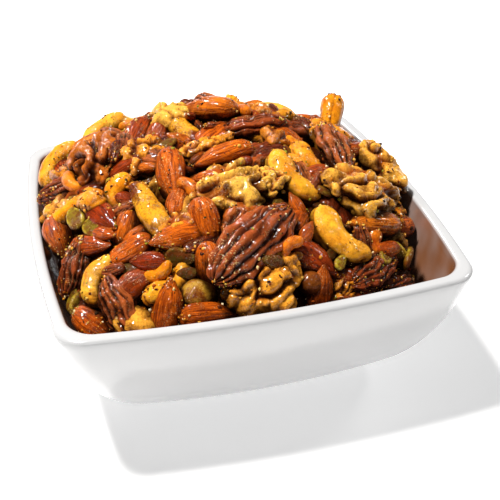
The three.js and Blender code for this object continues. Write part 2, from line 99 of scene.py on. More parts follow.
# The nuts that show from the front: angles are in degrees, the lift is over the heap's level,
# and the tint is how dark the coating is, from 0 to 1.
NUT_COLUMNS = ("kind", "x", "y", "heading", "tilt", "roll", "size", "lift", "tint")
SHOWN_NUTS = [
    ("cashew", -60, 37, 15, 10, 25, 1, 2, 0.25),
    ("cashew", -40, 50, 350, 12, 25, 0.95, 3.5, 0.1),
    ("cashew", -28, 50, 300, -6, -15, 0.85, -2.5, 0.75),
    ("walnut", -45, 17, 65, 12, 15, 1, 3, 0.8),
    ("almond", -58, 31, 280, -10, 20, 0.95, -2, 0.85),
    ("almond", -27, 34, 60, 10, 30, 0.95, 1, 0.8),
    ("almond", -32, 23, 25, -6, -30, 0.85, -1, 0.6),
    ("almond", -37, 7, 180, -12, 25, 0.9, 1, 0.85),
    ("walnut", -28, 8, 70, 6, 25, 0.8, 2, 0.45),
    ("split", -12, 24, 290, -6, 25, 1.05, 2, 0.35),
    ("almond", -21, 29, 60, 20, -20, 0.9, 0, 0.7),
    ("almond", 0, 32, 130, -12, 20, 1.25, 5.5, 0.3),
    ("almond", -23, -11, 262, -10, 55, 1.15, 4, 0.5),
    ("cashew", -42, -9, 60, 20, 20, 0.85, 2, 0.3),
    ("split", -33, -26, 278, -5, 0, 1.12, 5, 0.4),
    ("almond", -22, -22, 65, 10, 40, 0.9, 1, 0.45),
    ("almond", -41, -24, 50, 20, 35, 0.9, 1, 0.4),
    ("cashew", 15, 46, 110, 50, 60, 0.7, 1.5, 0.45),
    ("pecan", 13, 17, 352, 12, -25, 0.95, 3, 0.7),
    ("cashew", 31, 44, 350, -6, 25, 0.85, 1.5, 0.05),
    ("cashew", 38, 33, 350, -12, -25, 0.95, 0, 0.2),
    ("almond", 27, 9, 325, -12, 30, 0.85, 1, 0.5),
    ("almond", -3, -8, 196, 0, 50, 1.1, 6, 0.4),
    ("walnut", -8, 4, 35, -6, -25, 0.75, 2, 0.4),
    ("cashew", 17, 8, 295, -12, -15, 0.75, 0, 0.45),
    ("walnut", -3, -25, 18, 0, 0, 1.1, 5, 0.1),
    ("cashew", 19, -21, 122, 12, 0, 1.1, 4, 0.22),
    ("cashew", 30, -8, 125, 12, 15, 0.95, 2, 0.28),
    ("cashew", 54, 38, 120, 65, 30, 1.05, 7, 0.5),
    ("pecan", 44, 3, 275, -6, -20, 1.05, 5, 0.45),
    ("almond", 60, 34, 320, -6, 0, 0.9, 2, 0.6),
    ("walnut", 65, 2, 290, 20, -40, 1.1, 8, 0.22),
    ("walnut", 44, -22, 8, 0, -15, 1.25, 5, 0.2),
    ("cashew", 29, -45, 127, 0, 0, 1.15, 3.5, 0.2),
    ("almond", 45, -35, 190, 0, 50, 1.15, 4, 0.2),
    ("walnut", 62, -14, 300, 6, -20, 0.8, 2, 0.35),
    ("pecan", -59, 15, 350, -12, 25, 0.75, 1, 0.75),
    ("cashew", -55, -5, 335, 12, -25, 1.1, 3, 0.45),
    ("almond", -49, -16, 292, 6, 25, 1, 3, 0.9),
    ("almond", -65, -8, 262, -20, -30, 0.85, 1, 0.5),
    ("almond", -54, -24, 322, 12, -20, 0.9, 2, 0.75),
    ("almond", -44, -36, 182, -12, 30, 0.95, 3, 0.5),
    ("pecan", -61, -28, 45, 10, 15, 0.75, 2, 0.75),
    ("cashew", -54, -40, 45, -6, 15, 0.85, 4, 0.12),
    ("pecan", -49, -52, 268, -12, 15, 0.8, 3, 0.55),
    ("almond", -40, -47, 22, -12, 20, 0.9, 2, 0.8),
    ("almond", -26, -39, 192, 20, -30, 0.95, 4, 0.45),
    ("almond", -16, -37, 272, -25, 30, 0.95, 3, 0.45),
    ("cashew", -31, -51, 218, 12, -25, 0.95, 1, 0.25),
    ("almond", -18, -52, 266, -30, 40, 0.9, 2, 0.45),
    ("pecan", -3, -50, 41, 0, 0, 1.28, 8, 0.65),
    ("almond", 17, -37, 56, -20, 30, 0.9, 1, 0.6),
    ("almond", 16, -52, 317, 0, 10, 1.02, 3, 0.85),
    ("walnut", -2, -60, 42, 0, 0, 1.08, 5, 0.35),
    ("pecan", 39, -52, 32, 0, -15, 0.85, 2, 0.8),
    ("almond", 52.5, -39, 120, 20, 0, 0.8, -2, 0.45),
    ("almond", 64, -30, 330, 12, 0, 0.8, -1, 0.7),
    ("almond", 59, -26, 200, -12, 0, 0.85, 2, 0.55),
    ("pecan", 48, -51, 15, 0, 0, 0.75, -1, 0.85),
    ("almond", 17, -60, 88, 40, 20, 0.85, 0, 0.5),
    ("almond", -57, -51, 295, -20, -20, 0.85, 0.5, 0.6),
    ("almond", -34, -59, 62, 35, 0, 0.95, 3, 0.45),
    ("hazel", -24, -57, 345, -6, 0, 0.85, 1, 0.3),
    ("almond", -22, -64, 352, -6, 45, 0.85, 2, 0.5),
    ("almond", -14, -56, 120, 30, 0, 0.7, -1, 0.9),
    ("almond", -47, 7, 350, -12, 0, 0.85, -2, 0.85),
    ("almond", 41, -44, 20, 12, 0, 0.9, -2, 0.85),
    ("seed", -58, -11, 100, 0, 0, 1.05, 6, 0.2),
    ("seed", -53, -20, 280, 0, 0, 0.95, 5, 0.3),
    ("seed", -32, -9, 290, 0, 30, 1.1, -0.5, 0.7),
    ("seed", -24, 9, 10, 0, 0, 0.8, 4, 0.5),
    ("seed", -27, -46, 335, 0, 30, 1, 4, 0.7),
    ("seed", 45, -49, 75, 0, 0, 0.75, 7, 0.3),
    ("seed", 52, -44, 320, 0, 40, 1.05, 4.5, 0.3),
    ("seed", 44, -27, 70, 0, 0, 0.65, 9, 0.3),
]

# Small broken pieces and seeds that lie among them, in the same columns.
SMALL_BITS = [
    ("walnut", 26, 26, 300, 0, 0, 0.5, 1, 0.1),
    ("walnut", 9, -25, 8, 0, 0, 0.55, 7, 0.12),
    ("walnut", 57, 17, 315, 0, 0, 0.5, 1, 0.15),
    ("walnut", -33, -41, 350, 0, 0, 0.45, 0, 0.5),
    ("walnut", 27, -56, 70, 0, 0, 0.5, 0, 0.4),
    ("cashew", 3, -63, 280, 40, 0, 0.6, -1, 0.2),
    ("hazel", 14, -59, 350, 0, 0, 0.65, 2, 0.95),
    ("walnut", -58, -41, 45, 0, 0, 0.55, -1, 0.9),
    ("walnut", -44, -56, 340, 0, 0, 0.45, 0, 0.7),
    ("walnut", 56, -31, 35, 0, 0, 0.55, 1, 0.15),
    ("walnut", 27, -61, 15, 0, 0, 0.45, -1, 0.45),
    ("seed", -48, 45, 20, 0, 0, 1.1, 0, 0.4),
    ("seed", -20, 11, 30, 0, 0, 0.8, 4, 0.5),
    ("seed", -46, -61, 315, 0, 0, 0.7, 2, 0.1),
    ("seed", 56, -44, 60, 0, 60, 1.1, 6, 0.2),
    ("seed", -3, -65, 50, 0, 0, 0.7, 2, 0.2),
    ("seed", -64, -38, 50, 0, 0, 0.75, 2, 0.1),
    ("seed", -62, -41, 55, 0, 60, 0.85, 2, 0.1),
    ("seed", -53, -47, 25, 0, 0, 0.7, 4, 0.1),
    ("seed", 26, -55, 60, 0, 0, 0.6, 6, 0.1),
]

# The nuts between and behind them, drawn as in the solids, apart from the tint.
DRAWN_TINT = (0.1, 0.9)
FILL = Numbers(
    seed=4127, tries=1500, half=68, spacing=0.62, most_move=9,
    size=(0.85, 1.1), tilt=(-15, 15), roll=(-25, 25), lift=(-1, 2),
    kinds="almond cashew walnut almond pecan cashew almond walnut".split(),
)
# The layer under those, which fills the gaps.
UNDER = Numbers(
    seed=90217, tries=900, half=66, spacing=0.48, most_move=12,
    size=(0.85, 1.1), tilt=(-25, 25), roll=(-60, 60), lift=(-8, -4.5),
    kinds="almond cashew almond walnut pecan almond".split(),
)

# ---- Noise and draws ----


def solid_draws(seed):
    """The draws from 0 to 1 that the solids' fill uses."""
    state = seed
    while True:
        state = state * 16807 % 2147483647
        yield state / 2147483647


def lattice(cells, salt):
    """A steady number from -1 to 1 for each whole-number cell."""
    mixed = cells @ np.array([374761393, 668265263, 1442695041]) + salt * 1013904223
    mixed &= 0xFFFFFFFF
    mixed = ((mixed ^ (mixed >> 13)) * 1274126177) & 0xFFFFFFFF
    return (mixed ^ (mixed >> 16)) / 0x7FFFFFFF - 1


def noise(points, spacing, salt=0):
    """Smooth noise from about -1 to 1, with its bumps `spacing` millimetres apart."""
    scaled = points / spacing
    cell = np.floor(scaled).astype(np.int64)
    inside = scaled - cell
    fade = inside ** 3 * (inside * (6 * inside - 15) + 10)
    total = np.zeros(len(points))
    for corner in itertools.product((0, 1), repeat=3):
        corner = np.array(corner)
        slope = np.stack([lattice(cell + corner, salt + k) for k in range(3)], 1)
        weight = np.prod(np.where(corner == 1, fade, 1 - fade), 1)
        total += weight * np.einsum("ij,ij->i", slope, inside - corner)
    return 1.5 * total


def columns(*values):
    return np.stack(values, 1)


def hump(values, middle, width):
    return np.exp(-((values - middle) / width) ** 2)


def smooth_step(low, high, values):
    share = np.clip((values - low) / (high - low), 0, 1)
    return share * share * (3 - 2 * share)


# ---- Bodies of points and triangles ----


def round_body(around, rows):
    """A unit ball with its poles at +x and -x."""
    turn = np.arange(around) * math.tau / around
    slope = np.arange(1, rows)[:, None] * math.pi / rows
    x = np.cos(slope) + 0 * turn
    rings = np.stack([x, np.sin(slope) * np.cos(turn), np.sin(slope) * np.sin(turn)], -1)
    points = np.concatenate([[[1, 0, 0]], rings.reshape(-1, 3), [[-1, 0, 0]]])
    last = len(points) - 1
    step = np.arange(around)
    after = (step + 1) % around
    first = 1 + step
    triangles = [columns(0 * step, first, 1 + after)]
    for row in range(rows - 2):
        here = 1 + row * around
        below = here + around
        triangles.append(columns(here + step, below + step, below + after))
        triangles.append(columns(here + step, below + after, here + after))
    end = 1 + (rows - 2) * around
    triangles.append(columns(0 * step + last, end + after, end + step))
    return points, np.concatenate(triangles)


def cube_body(steps):
    """A unit ball swelled from a cube, so that its faces are even."""
    grid = np.arange(-steps, steps + 1, 2)
    corners, faces = [], []
    for axis, side in itertools.product(range(3), (1, -1)):
        for a, b in itertools.product(range(steps), repeat=2):
            square = [(a, b), (a + 1, b), (a + 1, b + 1), (a, b + 1)]
            for u, v in square[:: side]:
                corner = [0, 0, 0]
                corner[axis] = side * steps
                corner[(axis + 1) % 3] = grid[u]
                corner[(axis + 2) % 3] = grid[v]
                corners.append(corner)
            start = len(corners) - 4
            faces += [(start, start + 1, start + 2), (start, start + 2, start + 3)]
    unique, index = np.unique(np.array(corners), axis=0, return_inverse=True)
    points = np.tan(unique / steps * math.pi / 4)
    points /= np.linalg.norm(points, axis=1)[:, None]
    return points, index.ravel()[np.array(faces)]


def ring_body(rings):
    """Closes a stack of rings of equal length, each a list of points, the ends at one point."""
    around = len(rings[0])
    points = np.concatenate(rings)
    step = np.arange(around)
    after = (step + 1) % around
    triangles = []
    for row in range(len(rings) - 1):
        here = row * around
        there = here + around
        if row > 0:
            triangles.append(columns(here + step, here + after, there + after))
        if row < len(rings) - 2:
            triangles.append(columns(here + step, there + after, there + step))
    return points, np.concatenate(triangles)


def normals_of(points, triangles):
    a, b, c = (points[triangles[:, k]] for k in range(3))
    face = np.cross(b - a, c - a)
    total = np.zeros_like(points)
    for k in range(3):
        np.add.at(total, triangles[:, k], face)
    return total / np.maximum(np.linalg.norm(total, axis=1), 1e-12)[:, None]


def make_piece(name, points, triangles, attributes, material, slot, node):
    """A piece from points in millimetres, with its numbers for the material."""
    mesh = bpy.data.meshes.new(name)
    mesh.from_pydata((points * MM).tolist(), [], triangles.tolist())
    mesh.shade_smooth()
    for key, values in attributes.items():
        kind, field = ("FLOAT_VECTOR", "vector") if values.ndim == 2 else ("FLOAT", "value")
        attribute = mesh.attributes.new(key, kind, "POINT")
        attribute.data.foreach_set(field, values.astype(np.float32).ravel())
    mesh.materials.append(material)
    piece = bpy.data.objects.new(name, mesh)
    bpy.context.scene.collection.objects.link(piece)
    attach(piece, "root")
    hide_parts(node)


# ---- The bowl's shape ----


def wall_inset(level):
    """How far the outside of the wall stands in from the rim's outline at a level."""
    drop = 1 - np.clip(level / WALL_TOP, 0, 1)
    sine = drop ** (TURN_POWER / 2)
    cosine = np.sqrt(1 - sine * sine)
    return FOOT_INSET * (1 - cosine ** (2 / TURN_POWER)) + FLARE * drop


def outer_half(level):
    return RIM_SIDE / 2 - wall_inset(level)


def inner_half(level):
    share = (level - FLOOR_TOP) / (WALL_TOP - FLOOR_TOP)
    return RIM_SIDE / 2 - WALL - wall_inset(share * WALL_TOP)


def plan_ring(half, side_steps, corner_steps):
    """The soft square whose sides lie `half` from the middle, anticlockwise from above."""
    bow = min(SIDE_BOW, half * MOST_BOW)
    radius = min(CORNER_RADIUS, half * MOST_CORNER)
    flat = half - bow
    straight = flat - radius
    along = np.arange(side_steps) / side_steps
    angle = math.pi / 2 * np.arange(corner_steps) / corner_steps
    u = np.concatenate([straight * (2 * along - 1), straight + radius * np.sin(angle)])
    v = np.concatenate([flat + 0 * along, straight + radius * np.cos(angle)])
    swollen_u = u * (1 + bow * (1 - (v / flat) ** 2) / flat) if half > 0 else 0 * u
    swollen_v = v * (1 + bow * (1 - (u / flat) ** 2) / flat) if half > 0 else 0 * v
    quarters = []
    for quarter in range(4):
        turn = quarter * math.pi / 2
        x = math.cos(turn) * swollen_u + math.sin(turn) * swollen_v
        y = math.sin(turn) * swollen_u - math.cos(turn) * swollen_v
        quarters.append(columns(x, y))
    return np.concatenate(quarters)


def bowl_profile(wall_rows, rim_rows):
    """The bowl's rings from the middle of its foot over the rim to the middle of its floor."""
    share = np.linspace(0, 1, wall_rows + 1) ** ROW_CROWDING
    outside = FOOT_EASE + (WALL_TOP - FOOT_EASE) * share
    inside = FLOOR_TOP + (WALL_TOP - FLOOR_TOP) * share
    outer_middle = RIM_SIDE / 2 - RIM_EDGE
    inner_middle = RIM_SIDE / 2 - WALL + RIM_EDGE
    rings = [(0, 0), (outer_half(0) - FOOT_EASE, 0)]
    rings += [(outer_half(level), level) for level in outside]
    quarter = [math.pi / 2 * row / rim_rows for row in range(rim_rows + 1)]
    for angle in quarter[1:]:
        half = outer_middle + RIM_EDGE * math.cos(angle)
        rings.append((half, WALL_TOP + RIM_EDGE * math.sin(angle)))
    for angle in quarter[:-1]:
        half = inner_middle - RIM_EDGE * math.sin(angle)
        rings.append((half, WALL_TOP + RIM_EDGE * math.cos(angle)))
    rings += [(inner_half(level), level) for level in inside[::-1]]
    rings.append((0, FLOOR_TOP))
    return rings


def level_ring(half, level, side_steps, corner_steps):
    plan = plan_ring(half, side_steps, corner_steps)
    return np.column_stack([plan, np.full(len(plan), level)])


# ---- The heap's shape ----


def heap_level(x, y):
    """The level at which the nuts' middles lie over a place in the plan."""
    span_x = HEAP_REACH - np.sign(x - CROWN_X) * CROWN_X
    span_y = HEAP_REACH - np.sign(y - CROWN_Y) * CROWN_Y
    off_x = np.abs(x - CROWN_X) / span_x
    off_y = np.abs(y - CROWN_Y) / span_y
    out = (off_x ** PLAN_POWER + off_y ** PLAN_POWER) ** (1 / PLAN_POWER)
    edge = HEAP_EDGE + (EDGE_FALL_X * x + EDGE_RISE_Y * y) / HEAP_REACH
    dome = 1 - np.minimum(out, DOME_LIMIT) ** DOME_POWER
    return BOWL_HEIGHT + edge + (CROWN_RISE - edge) * dome


def heap_normal(x, y):
    slope_x = (heap_level(x + 1, y) - heap_level(x - 1, y)) / 2
    slope_y = (heap_level(x, y + 1) - heap_level(x, y - 1)) / 2
    up = np.array([-slope_x, -slope_y, 1])
    return up / np.linalg.norm(up)


# ---- The nuts' plain forms, as in the solids ----


def half_size(nut):
    return np.array([nut.length, nut.width, nut.thick]) / 2


def full_ends(nut, x):
    return np.sqrt(1 + nut.full_ends * x * x) * (1 + nut.lean * x)


def almond_form(p):
    x, y, z = p.T
    taper = 1 - ALMOND.taper * x - ALMOND.tip * x ** 3
    return columns(x, y * taper, z * taper) * half_size(ALMOND)


def cashew_form(p):
    x, y, z = p.T
    angle = CASHEW.turn * x
    full = full_ends(CASHEW, x)
    radius = CASHEW.bend + CASHEW.width / 2 * y * full
    drop = CASHEW.bend * math.cos(CASHEW.turn / 2)
    across = radius * np.cos(angle) - drop
    return columns(radius * np.sin(angle), across, CASHEW.thick / 2 * z * full)


def split_form(p):
    x, y, z = p.T
    full = full_ends(SPLIT, x)
    return columns(x, y * full, z * full) * half_size(SPLIT)


def tapered_form(nut):
    def form(p):
        x, y, z = p.T
        return columns(x, y * (1 - nut.taper * x), z) * half_size(nut)

    return form


def walnut_form(p):
    x, y, z = p.T
    turn = np.arctan2(y, x)
    large = WALNUT.lobe * np.cos(WALNUT.lobes * turn + WALNUT.lobe_turn)
    lobe = 1 + large + WALNUT.small_lobe * np.cos(WALNUT.small_lobes * turn)
    fold_x, fold_y = WALNUT.folds
    fold = 1 + WALNUT.fold * np.cos(fold_x * x + WALNUT.fold_turn) * np.cos(fold_y * y)
    return columns(x * lobe, y * lobe, z * fold) * half_size(WALNUT)


def hazel_form(p):
    x, y, z = p.T
    point = 1 + HAZEL.tip * np.maximum(x, 0) ** 3
    return columns(x * point, y, z) * half_size(HAZEL)


FORMS = dict(
    almond=almond_form, cashew=cashew_form, split=split_form, pecan=tapered_form(PECAN),
    walnut=walnut_form, hazel=hazel_form, seed=tapered_form(SEED),
)

# ---- The relief of each kind ----
# Each gives how far the surface stands out, and 0 in a groove to 1 on a ridge, for its colour.

ALMOND_WRINKLES = 15
ALMOND_WRINKLE_DEPTH = 0.2
ALMOND_WANDER = 2.4  # how far its wrinkles stray from straight lines, in radians
ALMOND_POINT = 1.1  # how far its sides are drawn in towards the point
CASHEW_SEAM_DEPTH = 0.45
CASHEW_PIT_DEPTH = 0.3
PECAN_RIDGES = 8
PECAN_WANDER = 1.3
PECAN_GROOVE_DEPTH = 1.5
PECAN_FINE_DEPTH = 0.45
PECAN_MAIN_GROOVE = 0.42  # radians each side of the top
PECAN_MAIN_DEPTH = 1.1
WALNUT_FOLD_SPACING = 8
WALNUT_FOLD_STRETCH = np.array([0.7, 1, 1])
WALNUT_FOLD_WANDER = 2.5
WALNUT_FOLD_DEPTH = 3
WALNUT_MIDDLE_DEPTH = 1.6
SEED_RIM_HEIGHT = 0.35

# The lumps of each kind: how high they are, and how far apart.
LUMPS = dict(
    almond=[(0.5, 8), (0.1, 2)], cashew=[(0.5, 7), (0.12, 2.2)], hazel=[(0.3, 5), (0.1, 1.8)],
    seed=[(0.3, 3)],
)


def lumps(kind, place):
    return sum(height * noise(place, spacing) for height, spacing in LUMPS[kind])


def turn_round(p):
    """The angle round a nut's length, from its side."""
    return np.arctan2(p[:, 2], p[:, 1])


def creases(wave, softness):
    """Sharp creases with round ridges between them, from 0 to 1."""
    return np.abs(np.sin(wave)) ** softness


def towards_ends(p, softness):
    """1 round the middle of a nut, and 0 at both its ends."""
    return (1 - p[:, 0] ** 2) ** softness


def almond_relief(p, base, lot):
    place = base + lot
    wander = noise(base * [0.5, 1, 1] + lot, 6)
    wrinkle = creases(ALMOND_WRINKLES * turn_round(p) / 2 + ALMOND_WANDER * wander, 0.7)
    strength = 0.7 + 0.8 * noise(place, 9, salt=5)
    depth = ALMOND_WRINKLE_DEPTH * strength * (wrinkle - 0.65) * towards_ends(p, 0.4)
    point = -ALMOND_POINT * smooth_step(0.3, 0.95, p[:, 0]) * np.hypot(p[:, 1], p[:, 2])
    return depth + lumps("almond", place) + point, wrinkle


def cashew_relief(p, base, lot):
    place = base + lot
    pits = -CASHEW_PIT_DEPTH * smooth_step(0.35, 0.6, noise(place, 2.6, salt=9))
    seam = -CASHEW_SEAM_DEPTH * hump(p[:, 2], 0.15, 0.1) * smooth_step(-0.2, 0.5, p[:, 1])
    return lumps("cashew", place) + seam + pits, 0.6 + 0.4 * noise(place, 3) + seam + pits


def split_relief(p, base, lot):
    """Rounded along it, and rough where it is broken at both ends."""
    place = base + lot
    ends = smooth_step(0.4, 0.85, np.abs(p[:, 0]) + 0.25 * noise(place, 5, salt=4))
    depth = 0.5 * noise(place, 6) + (0.2 + 0.7 * ends) * noise(place, 2.2)
    return depth, 1 - 0.9 * ends + 0.3 * noise(place, 3)


def pecan_relief(p, base, lot):
    turn = turn_round(p) - math.pi / 2
    wander = PECAN_WANDER * noise(base * [0.8, 1, 1] + lot, 6)
    groove = creases(PECAN_RIDGES * turn / 2 + wander, 0.4)
    fine = creases(PECAN_RIDGES * turn + 3.5 * wander + 0.6, 0.5)
    main = hump(np.abs(turn + 0.12 * wander), PECAN_MAIN_GROOVE, 0.12)
    knobs = 1.1 * noise(base * [1, 0.7, 0.7] + lot, 4) + 0.45 * noise(base + lot, 1.8)
    carved = PECAN_GROOVE_DEPTH * (groove - 0.7) + PECAN_FINE_DEPTH * (fine - 0.6)
    depth = (carved - PECAN_MAIN_DEPTH * main) * towards_ends(p, 0.25) + knobs
    high = groove * (0.6 + 0.4 * fine) * (1 - 0.8 * main) + 0.25 * knobs
    return depth, np.clip(high, 0, 1)


def walnut_relief(p, base, lot):
    place = base + lot
    warp = np.stack([noise(place, 6, salt=k) for k in (11, 14, 17)], 1)
    folds = base * WALNUT_FOLD_STRETCH + lot + WALNUT_FOLD_WANDER * warp
    large = np.abs(noise(folds, WALNUT_FOLD_SPACING, salt=2))
    minor = np.abs(noise(folds, WALNUT_FOLD_SPACING / 2, salt=7))
    fold = smooth_step(0, 0.3, large) ** 0.7 * (0.75 + 0.25 * smooth_step(0, 0.25, minor))
    middle = hump(base[:, 1] + 1.2 * noise(place, 9), 0, 1.3)
    depth = WALNUT_FOLD_DEPTH * (fold - 0.7) + 0.4 * noise(place, 2.2)
    return depth - WALNUT_MIDDLE_DEPTH * middle, np.clip(fold - 0.35 * middle, 0, 1)


def hazel_relief(p, base, lot):
    place = base + lot
    return lumps("hazel", place), 0.5 + 0.5 * noise(place, 4)


def seed_relief(p, base, lot):
    rim = hump(np.hypot(p[:, 0], p[:, 1]), 0.82, 0.1)
    return SEED_RIM_HEIGHT * rim + lumps("seed", base + lot), 0.45 + 0.55 * rim


RELIEFS = dict(
    almond=almond_relief, cashew=cashew_relief, split=split_relief, pecan=pecan_relief,
    walnut=walnut_relief, hazel=hazel_relief, seed=seed_relief,
)

# How finely each kind is made where it shows from the front: round it and along it, or along
# each edge of a cube. The nuts of the other layers take a share of that.
FINENESS = dict(
    almond=(68, 26), cashew=(52, 52), split=(44, 50), pecan=(98, 51),
    walnut=(29,), hazel=(36, 24), seed=(28, 14),
)
LAYER_SHARE = dict(shown=1, fill=0.6, bit=0.4, under=0.34)
FEWEST_ROWS = 4

# ---- Placing, as in the solids ----

FEELERS = np.array([p for p in itertools.product((-2, -1, 0, 1, 2), repeat=3) if any(p)], float)
FEELERS /= np.linalg.norm(FEELERS, axis=1)[:, None]


def nut_basis(nut):
    """The turn and size of a nut that lies on the heap's slope, as a matrix of columns."""
    up = heap_normal(nut.x, nut.y)
    heading = math.radians(nut.heading)
    along = np.array([math.cos(heading), math.sin(heading), 0])
    along -= up * (along @ up)
    along /= np.linalg.norm(along)
    across = np.cross(up, along)
    tilt, roll = -math.radians(nut.tilt), math.radians(nut.roll)
    cos, sin = math.cos(tilt), math.sin(tilt)
    lean = np.array([[cos, 0, sin], [0, 1, 0], [-sin, 0, cos]])
    cos, sin = math.cos(roll), math.sin(roll)
    turn = np.array([[1, 0, 0], [0, cos, -sin], [0, sin, cos]])
    return columns(along, across, up) @ lean @ turn * nut.size


def moves_inside(points):
    """How far points stand out of the room inside the bowl, as the moves that bring them in."""
    x, y, z = points.T
    over = np.clip(z - BOWL_HEIGHT, 0, WALL)
    half = inner_half(np.minimum(z, BOWL_HEIGHT)) - NUT_CLEARANCE + over
    flat = half - SIDE_BOW
    side_x = flat + SIDE_BOW * (1 - (y / flat) ** 2)
    side_y = flat + SIDE_BOW * (1 - (x / flat) ** 2)
    move_x = np.maximum(np.abs(x) - side_x, 0)
    move_y = np.maximum(np.abs(y) - side_y, 0)
    corner_x = np.abs(x) - (flat - CORNER_RADIUS)
    corner_y = np.abs(y) - (flat - CORNER_RADIUS)
    length = np.maximum(np.hypot(corner_x, corner_y), 1e-9)
    share = np.maximum(length - CORNER_RADIUS, 0) / length
    share *= (corner_x > 0) & (corner_y > 0)
    move_x = np.maximum(move_x, corner_x * share)
    move_y = np.maximum(move_y, corner_y * share)
    return -np.sign(x) * move_x, -np.sign(y) * move_y


def nut_middle(nut, basis):
    middle = np.array([nut.x, nut.y, heap_level(nut.x, nut.y) + nut.lift])
    feelers = FORMS[nut.kind](FEELERS) @ basis.T
    for _ in range(MOVE_ROUNDS):
        move_x, move_y = moves_inside(feelers + middle)
        middle[0] += move_x[np.argmax(np.abs(move_x))]
        middle[1] += move_y[np.argmax(np.abs(move_y))]
    return middle


def as_nut(layer, *row):
    return Numbers(**dict(zip(NUT_COLUMNS, row)), layer=layer)


def drawn_nuts(rule, others, layer):
    """Nuts drawn by a rule, kept where no other nut lies too near."""
    draws = solid_draws(rule.seed)

    def between(low, high):
        return low + (high - low) * next(draws)

    tints = np.random.default_rng(rule.seed)
    kept = []
    for _ in range(rule.tries):
        x = between(-rule.half, rule.half)
        y = between(-rule.half, rule.half)
        kind = rule.kinds[int(next(draws) * len(rule.kinds))]
        heading = between(0, 360)
        limits = rule.size, rule.tilt, rule.roll, rule.lift
        size, tilt, roll, lift = (between(*pair) for pair in limits)
        tint = tints.uniform(*DRAWN_TINT)
        reach = [rule.spacing * (FOOTPRINT[o.kind] + FOOTPRINT[kind]) for o in others + kept]
        gaps = [math.hypot(o.x - x, o.y - y) for o in others + kept]
        if any(gap <= near for gap, near in zip(gaps, reach)):
            continue
        nut = as_nut(layer, kind, x, y, heading, tilt, roll, size, lift, tint)
        middle = nut_middle(nut, nut_basis(nut))
        if math.hypot(middle[0] - x, middle[1] - y) < rule.most_move:
            kept.append(nut)
    return kept


def all_nuts():
    shown = [as_nut("shown", *row) for row in SHOWN_NUTS]
    fill = drawn_nuts(FILL, shown, "fill")
    bits = [as_nut("fill", *row) for row in SMALL_BITS]
    under = drawn_nuts(UNDER, [], "under")
    return shown + fill + bits + under


# ---- The gaps between the nuts ----

MAP_STEP = 1.5  # the width of each square of the height map
MAP_CELLS = round(RIM_SIDE / MAP_STEP)
MAP_BLUR = 4.5  # how far round a place its average height is taken
GAP_DARK = (0, 5)  # how far under that average the painted gap shade begins, and is darkest
HORIZON_TURNS = 12  # the directions in which neighbours are felt for,
HORIZON_STEPS = (1.5, 2.5, 4, 6, 9, 13)  # and the distances
OPEN_LIGHT, OPEN_DARK = 0.6, 0.25  # the same for how much open sky a point sees
GAP_BITS = Numbers(
    seed=3391, tries=3200, half=69, drop=1.6, apart=5, size=(0.34, 0.62), lift=(0.2, 1.8),
    tilt=(-30, 30), roll=(-40, 40), tint=(0.3, 1), seed_size=1.3,
    kinds="almond seed pecan cashew almond walnut pecan seed".split(),
)
GAP_BIT_LIMITS = GAP_BITS.roll, GAP_BITS.tilt, GAP_BITS.size, GAP_BITS.lift, GAP_BITS.tint


class HeightMap:
    """How high the nuts reach over each small square of the plan, and on average round it."""

    def __init__(self, points):
        self.top = np.full((MAP_CELLS, MAP_CELLS), float(FLOOR_TOP))
        np.maximum.at(self.top, self.cells(points), points[:, 2])
        reach = int(3 * MAP_BLUR / MAP_STEP)
        weight = np.exp(-(np.arange(-reach, reach + 1) * MAP_STEP / MAP_BLUR) ** 2 / 2)
        weight /= weight.sum()
        wide = np.pad(self.top, reach, constant_values=BOWL_HEIGHT)
        wide = np.apply_along_axis(np.convolve, 0, wide, weight, "valid")
        self.average = np.apply_along_axis(np.convolve, 1, wide, weight, "valid")

    def cells(self, points):
        cells = ((points[:, :2] + RIM_SIDE / 2) / MAP_STEP).astype(int)
        return tuple(np.clip(cells, 0, MAP_CELLS - 1).T)

    def drop(self, points):
        """How far points lie under the average height round them."""
        return self.average[self.cells(points)] - points[:, 2]

    def openness(self, points):
        """How much of the sky the neighbours leave, from 0 to 1."""
        total = np.zeros(len(points))
        for turn in range(HORIZON_TURNS):
            angle = math.tau * turn / HORIZON_TURNS
            ahead = np.array([math.cos(angle), math.sin(angle), 0])
            slope = np.zeros(len(points))
            for step in HORIZON_STEPS:
                rise = self.top[self.cells(points + step * ahead)] - points[:, 2]
                slope = np.maximum(slope, rise / step)
            total += 1 - slope / np.sqrt(1 + slope * slope)
        return total / HORIZON_TURNS

    def depth(self, points):
        """How deep in the gaps points lie, from 0 to 1."""
        closed = smooth_step(-OPEN_LIGHT, -OPEN_DARK, -self.openness(points))
        low = smooth_step(*GAP_DARK, self.drop(points))
        return 1 - (1 - closed) * (1 - low)


def gap_bits(height_map):
    """Small pieces that have settled in the gaps between the nuts."""
    draws = np.random.default_rng(GAP_BITS.seed)
    bits = []
    for _ in range(GAP_BITS.tries):
        x, y = draws.uniform(-GAP_BITS.half, GAP_BITS.half, 2)
        kind = GAP_BITS.kinds[draws.integers(len(GAP_BITS.kinds))]
        heading = draws.uniform(0, 360)
        roll, tilt, size, lift, tint = (draws.uniform(*limits) for limits in GAP_BIT_LIMITS)
        spot = np.array([[x, y, 0.0]])
        height = height_map.top[height_map.cells(spot)][0]
        spot[0, 2] = height
        if height_map.drop(spot)[0] < GAP_BITS.drop:
            continue
        if any(math.hypot(o.x - x, o.y - y) < GAP_BITS.apart for o in bits):
            continue
        if kind == "seed":
            size *= GAP_BITS.seed_size
        rise = height - heap_level(x, y) + lift
        bits.append(as_nut("bit", kind, x, y, heading, tilt, roll, size, rise, tint))
    return bits


# ---- The nuts' meshes ----

